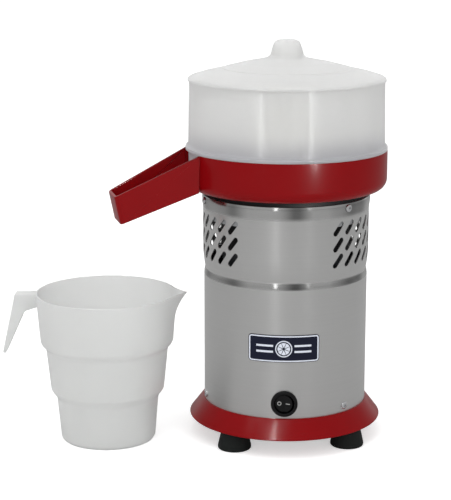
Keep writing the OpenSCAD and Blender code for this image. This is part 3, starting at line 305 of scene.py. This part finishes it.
MATERIALS = {
    "red_enamel": enamel("red_enamel", linear(128, 3, 8)),
    "brushed_steel": brushed(
        "brushed_steel", linear(217, 217, 216), 0.36, 2600, (SHOULDER_POLISH_AND_PAINTED_DARK, SEAM_POLISH_AND_PAINTED_DARK)
    ),
    "zinc_steel": metal("zinc_steel", linear(190, 192, 196), 0.35),
    "screw_steel": metal("screw_steel", linear(215, 216, 218), 0.18, 900, 0.01),
    "foot_rubber": plastic("foot_rubber", linear(24, 27, 26), 0.62, 1200, 0.05),
    "seal_rubber": plastic("seal_rubber", linear(22, 23, 24), 0.55, 1200, 0.04),
    "cast_aluminium": metal("cast_aluminium", linear(186, 188, 190), 0.45, 350, 0.12),
    # The near-black on the motor's end bells is painted shade: it keeps the inside dark where it
    # shows through the vents
    "motor_paint": plastic("motor_paint", linear(20, 20, 21), 0.5, 700, 0.08),
    "core_steel": brushed("core_steel", linear(120, 123, 127), 0.45, 1400),
    "copper_winding": brushed("copper_winding", linear(176, 102, 48), 0.35, 900),
    "ground_steel": brushed("ground_steel", linear(205, 207, 210), 0.2, 4000),
    "black_plastic": plastic("black_plastic", linear(16, 16, 17), 0.42),
    "rocker_plastic": plastic("rocker_plastic", linear(18, 18, 19), 0.28),
    "white_marks": plastic("white_marks", linear(168, 169, 167), 0.5),
    "label_silver": plastic("label_silver", linear(214, 219, 230), 0.4),
    "label_navy": plastic("label_navy", linear(20, 23, 42), 0.38),
    "capacitor_plastic": plastic("capacitor_plastic", linear(212, 212, 206), 0.45),
    "terminal_plastic": plastic("terminal_plastic", linear(220, 217, 206), 0.5),
    "strainer_steel": brushed("strainer_steel", linear(188, 190, 192), 0.3, 2000),
    "reamer_plastic": plastic("reamer_plastic", linear(226, 224, 214), 0.35),
    "milky_plastic": milky("milky_plastic", linear(243, 243, 242), 0.55, 0.42, RING_FOOT_PAINTED_SHADE),
    "jug_plastic": milky("jug_plastic", linear(237, 238, 237), 0.6, 0.38),
    # The handle is the jug's own plastic; its darker colour here is painted shade
    "jug_handle": milky("jug_handle", linear(226, 227, 226), 0.35, 0.38),
}


# Mesh helpers
def settle(piece, node):
    """Puts a piece on the body of a CAD node, in that node's finish and in its place."""
    piece.data.materials.clear()
    piece.data.materials.append(MATERIALS[slot_of_node[node]])
    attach(piece, body_of_node[node])
    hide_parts(node)
    return piece


def cad_copy(node):
    """A copy of a CAD node's mesh as a bmesh, with its faces joined at their shared points."""
    bm = bmesh.new()
    bm.from_mesh(frame["nodes"][node].data)
    bmesh.ops.remove_doubles(bm, verts=bm.verts, dist=WELD)
    return bm


def made(name, bm, sharp=35):
    """An object from a bmesh, shaded smooth apart from edges sharper than an angle."""
    bmesh.ops.remove_doubles(bm, verts=bm.verts, dist=WELD)
    bmesh.ops.recalc_face_normals(bm, faces=bm.faces)
    mesh = bpy.data.meshes.new(name)
    bm.to_mesh(mesh)
    bm.free()
    mesh.shade_smooth()
    mesh.set_sharp_from_angle(angle=math.radians(sharp))
    piece = bpy.data.objects.new(name, mesh)
    bpy.context.scene.collection.objects.link(piece)
    return piece


def rounded(corners):
    """A closed outline from (across, up, corner radius), each corner drawn as a curve."""
    least_half = 0.01
    line = []
    for i, (x, z, radius) in enumerate(corners):
        here = Vector((x, z))
        before = Vector(corners[i - 1][:2])
        after = Vector(corners[(i + 1) % len(corners)][:2])
        if radius == 0:
            line.append(here)
            continue
        back = (before - here).normalized()
        on = (after - here).normalized()
        half = max(back.angle(on) / 2, least_half)
        reach = radius / math.tan(half)
        start = here + back * min(reach, (before - here).length / 2)
        end = here + on * min(reach, (after - here).length / 2)
        for k in range(ROUND_STEPS + 1):
            t = k / ROUND_STEPS
            line.append(start * (1 - t) ** 2 + here * 2 * t * (1 - t) + end * t * t)
    return line


def turned(outline, centre=(0, 0), steps=TURN_STEPS, warp=None):
    """A closed outline turned around an upright axis; warp moves a point by its angle."""
    bm = bmesh.new()
    rings = []
    for i in range(steps):
        angle = TURN * i / steps
        ring = []
        for point in outline:
            r, z = warp(angle, point[0], point[1]) if warp else (point[0], point[1])
            place = (centre[0] + r * math.cos(angle), centre[1] + r * math.sin(angle), z)
            ring.append(bm.verts.new(place))
        rings.append(ring)
    for i in range(steps):
        ring = rings[i]
        beside = rings[(i + 1) % steps]
        for k in range(len(outline)):
            after = (k + 1) % len(outline)
            on_axis = outline[k][0] <= 0 and outline[after][0] <= 0
            if not on_axis:
                bm.faces.new((ring[k], beside[k], beside[after], ring[after]))
    return bm


def inset(corners, distance):
    """A list of corners drawn inwards by a distance, with their radii to match."""
    points = [Vector(corner[:2]) for corner in corners]
    count = len(points)
    area = sum(points[i - 1].cross(points[i]) for i in range(count))
    turn = 1 if area > 0 else -1
    drawn = []
    for i, here in enumerate(points):
        before = (here - points[i - 1]).normalized()
        after = (points[(i + 1) % count] - here).normalized()
        one = Vector((-before.y, before.x)) * turn
        other = Vector((-after.y, after.x)) * turn
        place = here + (one + other) * distance / (1 + one.dot(other))
        drawn.append((place.x, place.y, max(corners[i][2] - distance, distance / 8)))
    return drawn


def slab(corners, half, edge):
    """A rounded outline in X and Z, given a thickness along Y, with its two rims rounded."""
    layers = []
    for k in range(ROUND_STEPS + 1):
        angle = math.pi / 2 * (1 - k / ROUND_STEPS)
        layers.append((-half + edge * (1 - math.sin(angle)), edge * (1 - math.cos(angle))))
    layers += [(-y, drawn) for y, drawn in reversed(layers)]
    bm = bmesh.new()
    rings = []
    for y, drawn in layers:
        outline = rounded(inset(corners, drawn))
        rings.append([bm.verts.new((point.x, y, point.y)) for point in outline])
    count = len(rings[0])
    for low, high in zip(rings, rings[1:]):
        for i in range(count):
            after = (i + 1) % count
            bm.faces.new((low[i], low[after], high[after], high[i]))
    bm.faces.new(rings[0])
    bm.faces.new(list(reversed(rings[-1])))
    return bm


# Camera
def make_camera():
    """The camera as solved from the photograph; down and left are its turns in degrees."""
    down = 12.59
    left = 2.21
    data = bpy.data.cameras.new("view")
    data.lens = 114.7
    data.sensor_width = 36
    camera = bpy.data.objects.new("view", data)
    camera.location = (0, -1.4354, 0.4924)
    camera.rotation_euler = (math.radians(90 - down), 0, math.radians(left))
    bpy.context.scene.collection.objects.link(camera)
    bpy.context.scene.camera = camera


# Floor, world and lamps
def light_path(nodes, links):
    """The Light Path node, and a value that is 1 for what is seen straight or through a piece."""
    path = nodes.new("ShaderNodeLightPath")
    either = nodes.new("ShaderNodeMath")
    either.operation = "MAXIMUM"
    links.new(path.outputs["Is Camera Ray"], either.inputs[0])
    links.new(path.outputs["Is Transmission Ray"], either.inputs[1])
    return path, either.outputs[0]


def floor_material():
    """Pale and dull, lit up to white where it is seen, and greyer where a piece mirrors it."""
    lit = 0.5
    pale = linear(238, 238, 238)
    grey = linear(180, 180, 180)
    material = bpy.data.materials.new("floor")
    material.use_nodes = True
    nodes = material.node_tree.nodes
    links = material.node_tree.links
    plain = nodes["Principled BSDF"]
    plain.inputs["Roughness"].default_value = 0.9
    plain.inputs["Specular IOR Level"].default_value = 0.1
    plain.inputs["Emission Color"].default_value = (1, 1, 1, 1)
    path, seen = light_path(nodes, links)
    glow = nodes.new("ShaderNodeMath")
    glow.operation = "MULTIPLY"
    glow.inputs[1].default_value = lit
    links.new(seen, glow.inputs[0])
    links.new(glow.outputs[0], plain.inputs["Emission Strength"])
    mirrored = nodes.new("ShaderNodeMix")
    mirrored.data_type = "RGBA"
    mirrored.inputs["A"].default_value = pale
    mirrored.inputs["B"].default_value = grey
    links.new(path.outputs["Is Glossy Ray"], mirrored.inputs["Factor"])
    links.new(mirrored.outputs["Result"], plain.inputs["Base Color"])
    return material


def make_floor():
    """A wide square floor, which isn't part of the object."""
    half = 30
    bm = bmesh.new()
    corners = [(-half, -half, 0), (half, -half, 0), (half, half, 0), (-half, half, 0)]
    bm.faces.new([bm.verts.new(corner) for corner in corners])
    floor = made("floor", bm)
    floor.data.materials.append(floor_material())


def make_world():
    """White behind the part and through clear pieces; shiny pieces see it dim in front.

    As they mirror it, it goes from dim to white between two shares of the way to the back.
    """
    white = 1.0
    lighting = 0.72
    dim = 0.5
    dim_until = 0.5
    white_from = 0.95
    world = bpy.data.worlds.new("studio")
    world.use_nodes = True
    bpy.context.scene.world = world
    bpy.context.scene.view_settings.view_transform = "Standard"
    nodes = world.node_tree.nodes
    links = world.node_tree.links
    background = nodes["Background"]
    path, seen = light_path(nodes, links)
    direction = nodes.new("ShaderNodeTexCoord")
    split = nodes.new("ShaderNodeSeparateXYZ")
    links.new(direction.outputs["Generated"], split.inputs["Vector"])
    behind = nodes.new("ShaderNodeMapRange")
    behind.interpolation_type = "SMOOTHSTEP"
    behind.inputs["From Min"].default_value = dim_until
    behind.inputs["From Max"].default_value = white_from
    behind.inputs["To Min"].default_value = dim
    behind.inputs["To Max"].default_value = white
    links.new(split.outputs["Y"], behind.inputs["Value"])
    unseen = nodes.new("ShaderNodeMix")
    unseen.data_type = "FLOAT"
    unseen.inputs["A"].default_value = lighting
    links.new(path.outputs["Is Glossy Ray"], unseen.inputs["Factor"])
    links.new(behind.outputs["Result"], unseen.inputs["B"])
    level = nodes.new("ShaderNodeMix")
    level.data_type = "FLOAT"
    level.inputs["B"].default_value = white
    links.new(seen, level.inputs["Factor"])
    links.new(unseen.outputs["Result"], level.inputs["A"])
    links.new(level.outputs["Result"], background.inputs["Strength"])
    background.inputs["Color"].default_value = (1, 1, 1, 1)


def make_lamp(name, place, aim, size, power):
    """A soft lamp of a width and height at a place, aimed at another place."""
    data = bpy.data.lights.new(name, "AREA")
    data.shape = "RECTANGLE"
    data.size = size[0]
    data.size_y = size[1]
    data.energy = power
    lamp = bpy.data.objects.new(name, data)
    lamp.location = place
    towards = Vector(aim) - Vector(place)
    lamp.rotation_euler = towards.to_track_quat("-Z", "Y").to_euler()
    lamp.visible_camera = False
    bpy.context.scene.collection.objects.link(lamp)
    return lamp


def make_strip(name, degrees, power, shown):
    """A tall strip of light at an angle from the front.

    Where shown gives the starts of pieces' names, these pieces mirror it and that is all it
    does. A strip without them lights every piece, and none mirrors it.
    """
    away = 1.6
    high = 1.4
    size = (0.1, 2.7)
    angle = math.radians(degrees)
    place = (away * math.sin(angle), -away * math.cos(angle), high)
    lamp = make_lamp(name, place, (0, 0, high), size, power)
    lamp.visible_glossy = bool(shown)
    lamp.visible_diffuse = not shown
    lamp.visible_transmission = not shown
    if not shown:
        return
    lit = bpy.data.collections.new(name + "_lit")
    for piece in bpy.context.scene.objects:
        if piece.name.startswith(shown):
            lit.objects.link(piece)
    lamp.light_linking.receiver_collection = lit


STEEL_PIECES = ("upper_shell", "lower_shell")
CLEAR_PIECES = ("lid_shell", "guard_wall", "jug")
# Each strip's name, angle from the front in degrees, power in watts and the pieces that mirror it
STRIPS = [
    ("left_strip", -25, 7, ()),
    ("right_strip", 32, 7, ()),
    ("steel_glint", -13, 1.8, STEEL_PIECES),
    ("steel_side_glint", 31, 0.5, STEEL_PIECES),
    ("clear_left_glint", -29, 14, CLEAR_PIECES),
    ("clear_right_glint", 28, 14, CLEAR_PIECES),
    ("ring_glint", -17, 55, ("base_ring",)),
    ("bowl_glint", 31, 150, ("bowl", "spout")),
]


def make_lamps():
    """One soft lamp overhead, strips beside the camera, and strips that only shiny pieces mirror."""
    make_lamp("top", place=(-0.4, -0.6, 2.2), aim=(0, 0, 0.2), size=(1.6, 1.6), power=12)
    for name, degrees, power, shown in STRIPS:
        make_strip(name, degrees, power, shown)


# The lid, the guard ring and the jug
# The angle in degrees up to which their walls are shaded smooth
WALL_SHARP = 50

# The lid from its rim to its knob: shares of its radius and of its height above the guard ring,
# with the corner's radius in millimetres
LID_OUTLINE = [
    (1, 0, 0.3), (1, 0.055, 0.6), (0.978, 0.096, 1.5), (0.883, 0.168, 6), (0.7, 0.272, 4),
    (0.652, 0.292, 0.5), (0.642, 0.314, 0.5), (0.6, 0.34, 3), (0.45, 0.435, 10),
    (0.3, 0.505, 8), (0.205, 0.555, 4), (0.17, 0.62, 3), (0.142, 0.86, 2),
    (0.122, 0.955, 2.2), (0.085, 0.995, 1.2), (0, 1, 0)
]


def make_lid():
    """A thin dome with a hollow knob, and a plug that reaches down into the guard ring."""
    low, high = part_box("lid")
    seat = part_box("guard_ring")[1].z
    r = high.x
    h = high.z - seat
    wall = 2 * MM
    plug = r - 3.8 * MM
    over = [(x * r, seat + z * h, radius * MM) for x, z, radius in LID_OUTLINE]
    under = [(0, high.z - wall * 1.5, 0)]
    for x, z, radius in reversed(LID_OUTLINE[3:-2]):
        if x * r < plug:
            under.append((x * r - wall, seat + z * h - wall, radius * MM))
    under += [
        (plug - wall, seat + wall, 1 * MM), (plug - wall, low.z, 0.6 * MM),
        (plug, low.z, 0.6 * MM), (plug, seat, 0.4 * MM)
    ]
    settle(made("lid_shell", turned(rounded(over + under)), WALL_SHARP), "lid")


def make_guard():
    """A wall with a flange that lies on the bowl's rim, and a skirt that reaches into the bowl."""
    low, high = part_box("guard_ring")
    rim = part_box("bowl")[1].z
    r = high.x
    skirt = low.z
    wall = 2.2 * MM
    low_r = r - 2.5 * MM
    top_r = r - 3.5 * MM
    skirt_r = r - 2.9 * MM
    flange_top = rim + 3 * MM
    wall_foot = rim + 6 * MM
    outline = rounded([
        (skirt_r, skirt, 0.8 * MM), (skirt_r, rim, 0.2 * MM), (r, rim, 0.5 * MM),
        (r, flange_top, 0.9 * MM), (low_r + 0.75 * MM, flange_top + 0.75 * MM, 0.4 * MM),
        (low_r, wall_foot, 1.5 * MM), (top_r, high.z, 0.7 * MM),
        (top_r - wall, high.z, 0.7 * MM), (low_r - wall, wall_foot, 2 * MM),
        (skirt_r - wall, rim, 2 * MM), (skirt_r - wall, skirt, 0.8 * MM)
    ])
    settle(made("guard_wall", turned(outline), WALL_SHARP), "guard_ring")


JUG_CENTRE = (-163.3 * MM, -28 * MM)
JUG_R = 64.5 * MM
JUG_H = 138 * MM
JUG_WALL = 1.8 * MM
# Shares of the jug's rim radius and height, with the corner's radius in millimetres
JUG_OUTLINE = [
    (0.65, 0, 1), (0.675, 0.015, 4), (0.727, 0.289, 3), (0.748, 0.307, 4), (0.785, 0.33, 4),
    (0.808, 0.348, 3), (0.868, 0.621, 3), (0.888, 0.639, 4), (0.93, 0.66, 3), (0.945, 0.677, 3),
    (1, 1, 0.7)
]


def lip_warp():
    """A warp that draws the jug's rim out and up to a pouring lip on the right."""
    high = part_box("jug")[1]
    out = high.x - JUG_CENTRE[0] - JUG_R
    up = high.z - JUG_H
    depth = 27 * MM
    half_angle = 0.36

    def warp(angle, radius, z):
        off = abs((angle + math.pi) % TURN - math.pi) / half_angle
        if off >= 1 or z < JUG_H - depth:
            return radius, z
        share = (1 - off) ** 1.6 * (0.6 + 0.4 * (1 - off))
        height = (z - JUG_H + depth) / depth
        return radius + out * share * height ** 2.2, z + up * share * height ** 4

    return warp


def cut_long(line, longest, parts):
    """Cuts an outline's stretches off the axis into even parts where they are longer than this."""
    dense = []
    for i, point in enumerate(line):
        dense.append(point)
        after = line[(i + 1) % len(line)]
        if (after - point).length > longest and point.x > 0 and after.x > 0:
            for k in range(1, parts):
                dense.append(point.lerp(after, k / parts))
    return dense


def make_jug_wall():
    """The jug's stepped wall, with points enough on its long stretches for the lip's curve."""
    outer = [(x * JUG_R, z * JUG_H, radius * MM) for x, z, radius in JUG_OUTLINE]
    inner = []
    for x, z, radius in reversed(JUG_OUTLINE):
        inner.append((x * JUG_R - JUG_WALL, max(z * JUG_H, JUG_WALL), radius * MM))
    line = rounded([(0, 0, 0)] + outer + inner + [(0, JUG_WALL, 0)])
    dense = cut_long(line, longest=12 * MM, parts=12)
    bm = turned(dense, JUG_CENTRE, steps=192, warp=lip_warp())
    return settle(made("jug_wall", bm, WALL_SHARP), "jug")


def make_jug_handle():
    """The jug's flat handle: out from the rim, then down along a slope to its tip.

    It is drawn towards +X from the jug's axis, and then turned around to the left.
    """
    root = JUG_R - JUG_WALL
    top = JUG_H - 1.4 * MM
    foot = JUG_H - 13.9 * MM
    bend = 83.5 * MM
    tip = JUG_CENTRE[0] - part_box("jug")[0].x
    tip_z = top - 55.6 * MM
    finger_side = [(76.6 * MM, top - 20 * MM, 4 * MM), (74.2 * MM, top - 16.4 * MM, 4 * MM)]
    half = 6.5 * MM
    edge = 0.8 * MM
    corners = [
        (root, top, 0.4 * MM), (bend, top, 1.2 * MM), (tip, tip_z, 0.9 * MM),
        (tip - 1.5 * JUG_WALL, tip_z - 1 * MM, 1 * MM), *finger_side, (root, foot, 1 * MM)
    ]
    grip = made("jug_handle", slab(corners, half, edge), sharp=40)
    grip.data.transform(
        Matrix.Translation((*JUG_CENTRE, 0)) @ Matrix.Rotation(math.radians(180), 4, "Z")
    )
    grip.data.materials.append(MATERIALS["jug_handle"])
    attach(grip, "jug")
    return grip


def make_jug():
    """The jug and its handle, kept out of mirror images, where they show as dark streaks."""
    for piece in (make_jug_wall(), make_jug_handle()):
        piece.visible_glossy = False


# The housing
def shell_radius(z):
    """The upper shell's outer radius at a height, with its shoulder as one smooth curve."""
    upper_r = SHELL_R - 0.9 * MM
    swell = 20.5 * MM
    swell_in = 1.9 * MM
    roll = 3 * MM
    roll_in = 0.5 * MM
    if z < SEAM + swell:
        return upper_r - swell_in * (1 - (z - SEAM) / swell) ** 2
    if z > SHELL_TOP - roll:
        return SHELL_R - roll_in * ((z - SHELL_TOP + roll) / roll) ** 2
    t = min(max((z - SHOULDER) / (SHELL_TOP - roll - SHOULDER), 0), 1)
    return upper_r + (SHELL_R - upper_r) * t * t * (3 - 2 * t)


def draw_shoulder(bm):
    """Cuts the shell's shoulder into low rings and moves their points onto the smooth curve."""
    cuts = 16
    wall = 1 * MM
    rim = 5.5 * MM
    # How deep the middle of the CAD wall lies, at its flared rim and below it
    rim_middle = wall / 2
    low_middle = 1.5 * MM
    for k in range(cuts):
        z = SHOULDER + (SHELL_TOP - SHOULDER) * k / cuts
        every = bm.verts[:] + bm.edges[:] + bm.faces[:]
        bmesh.ops.bisect_plane(bm, geom=every, plane_co=(0, 0, z), plane_no=(0, 0, 1))
    for vert in bm.verts:
        if vert.co.z < SHOULDER:
            continue
        now = vert.co.xy.length
        inner = now < SHELL_R - (rim_middle if vert.co.z > SHELL_TOP - rim else low_middle)
        scale = (shell_radius(vert.co.z) - (wall if inner else 0)) / now
        vert.co.x *= scale
        vert.co.y *= scale


def smooth_shell(mesh):
    """Gives the shell's upright faces the normals of the curve itself."""
    upright = 0.8
    step = 0.1 * MM
    normals = [Vector(corner.vector) for corner in mesh.corner_normals]
    for face in mesh.polygons:
        out = face.center.xy.normalized()
        side = face.normal.xy.dot(out)
        if abs(side) < upright:
            continue
        for corner in face.loop_indices:
            place = mesh.vertices[mesh.loops[corner].vertex_index].co
            slope = (shell_radius(place.z + step) - shell_radius(place.z - step)) / (2 * step)
            around = place.xy.normalized()
            normal = Vector((around.x, around.y, -slope)).normalized()
            normals[corner] = normal if side > 0 else -normal
    mesh.normals_split_custom_set(normals)


def make_upper_shell():
    """The upper shell with its shoulder drawn smooth and its normals worked out."""
    bm = cad_copy("upper_shell")
    draw_shoulder(bm)
    piece = made("upper_shell_finished", bm, sharp=30)
    smooth_shell(piece.data)
    settle(piece, "upper_shell")


def islands(node):
    """The centre of each separate solid of a CAD node."""
    bm = cad_copy(node)
    found = set()
    centres = []
    for first in bm.verts:
        if first in found:
            continue
        found.add(first)
        group = []
        todo = [first]
        while todo:
            vert = todo.pop()
            group.append(vert)
            for edge in vert.link_edges:
                other = edge.other_vert(vert)
                if other not in found:
                    found.add(other)
                    todo.append(other)
        low = Vector([min(v.co[i] for v in group) for i in range(3)])
        high = Vector([max(v.co[i] for v in group) for i in range(3)])
        centres.append((low + high) / 2)
    bm.free()
    return centres


def screw_head():
    """A domed screw head with a cross recess, and the start of its shank, along its own axis."""
    r = 3.4 * MM
    head = 1.8 * MM
    edge = head * 0.3
    recess = r * 0.5
    shank = r * 0.44
    bite = 4 * MM
    waist = 0.35
    flat = 0.35
    dome_angles = (0.62, 0.85, 1.1, 1.35)

    def cross(angle, radius, z):
        if 0 < radius < recess * 1.01:
            return radius * (waist + (1 - waist) * abs(math.cos(2 * angle)) ** 3), z
        return radius, z

    dome = []
    for a in dome_angles:
        dome.append((r * math.sin(a), head * (flat + (1 - flat) * math.cos(a)), 0))
    middle = [(0, edge, 0), (recess * 0.7, head * 0.35, 0), (recess, head * 0.93, 0)]
    side = [(r, edge, 0.3 * MM), (r, 0, 0), (shank, 0, 0), (shank, -bite, 0), (0, -bite, 0)]
    return turned(rounded(middle + dome + side), steps=48, warp=cross)


def make_screws(node, shell_r):
    """Detailed screws in a shell, each where a solid of the CAD node is."""
    bm = bmesh.new()
    for centre in islands(node):
        out = Vector((centre.x, centre.y, 0)).normalized()
        upright = out.to_track_quat("Z", "Y").to_matrix().to_4x4()
        place = Matrix.Translation(out * shell_r + Vector((0, 0, centre.z))) @ upright
        one = screw_head()
        bmesh.ops.transform(one, matrix=place, verts=one.verts)
        mesh = bpy.data.meshes.new(node)
        one.to_mesh(mesh)
        one.free()
        bm.from_mesh(mesh)
        bpy.data.meshes.remove(mesh)
    settle(made(node + "_finished", bm, sharp=40), node)


# CAD nodes that stay, and those that get rounded edges
def dress_nodes():
    """Puts each CAD node that stays in its finish."""
    for node, piece in frame["nodes"].items():
        material = MATERIALS[slot_of_node[node]]
        for place in piece.material_slots:
            place.material = material


# How wide the edges of the solids that are seen are rounded, in millimetres
EDGE_WIDTHS = {
    "bowl": 0.7,
    "spout": 0.9,
    "base_ring": 0.6,
    "foot_front_right": 0.6,
    "foot_front_left": 0.6,
    "foot_rear_left": 0.6,
    "foot_rear_right": 0.6,
    "switch_bezel": 0.4,
    "switch_rocker": 0.5,
}


def finish_edges(node, width):
    """Replaces a CAD node by a copy with its edges rounded by a width.

    Edges flatter than one angle in degrees go, and those sharper than another are rounded.
    """
    flat = 1
    sharp = 32
    bm = cad_copy(node)
    bmesh.ops.dissolve_limit(
        bm, angle_limit=math.radians(flat), verts=bm.verts, edges=bm.edges
    )
    piece = made(node + "_finished", bm, sharp)
    bevel = piece.modifiers.new("edges", "BEVEL")
    bevel.width = width
    bevel.segments = 3
    bevel.limit_method = "ANGLE"
    bevel.angle_limit = math.radians(sharp)
    bevel.use_clamp_overlap = False
    bevel.harden_normals = True
    settle(piece, node)


make_camera()
make_floor()
make_world()
dress_nodes()
make_lid()
make_guard()
make_jug()
make_upper_shell()
make_screws("upper_shell_screws", SHELL_R)
make_screws("lower_shell_screws", LOWER_SHELL_R)
for edged_node, edge_width in EDGE_WIDTHS.items():
    finish_edges(edged_node, edge_width * MM)
make_lamps()
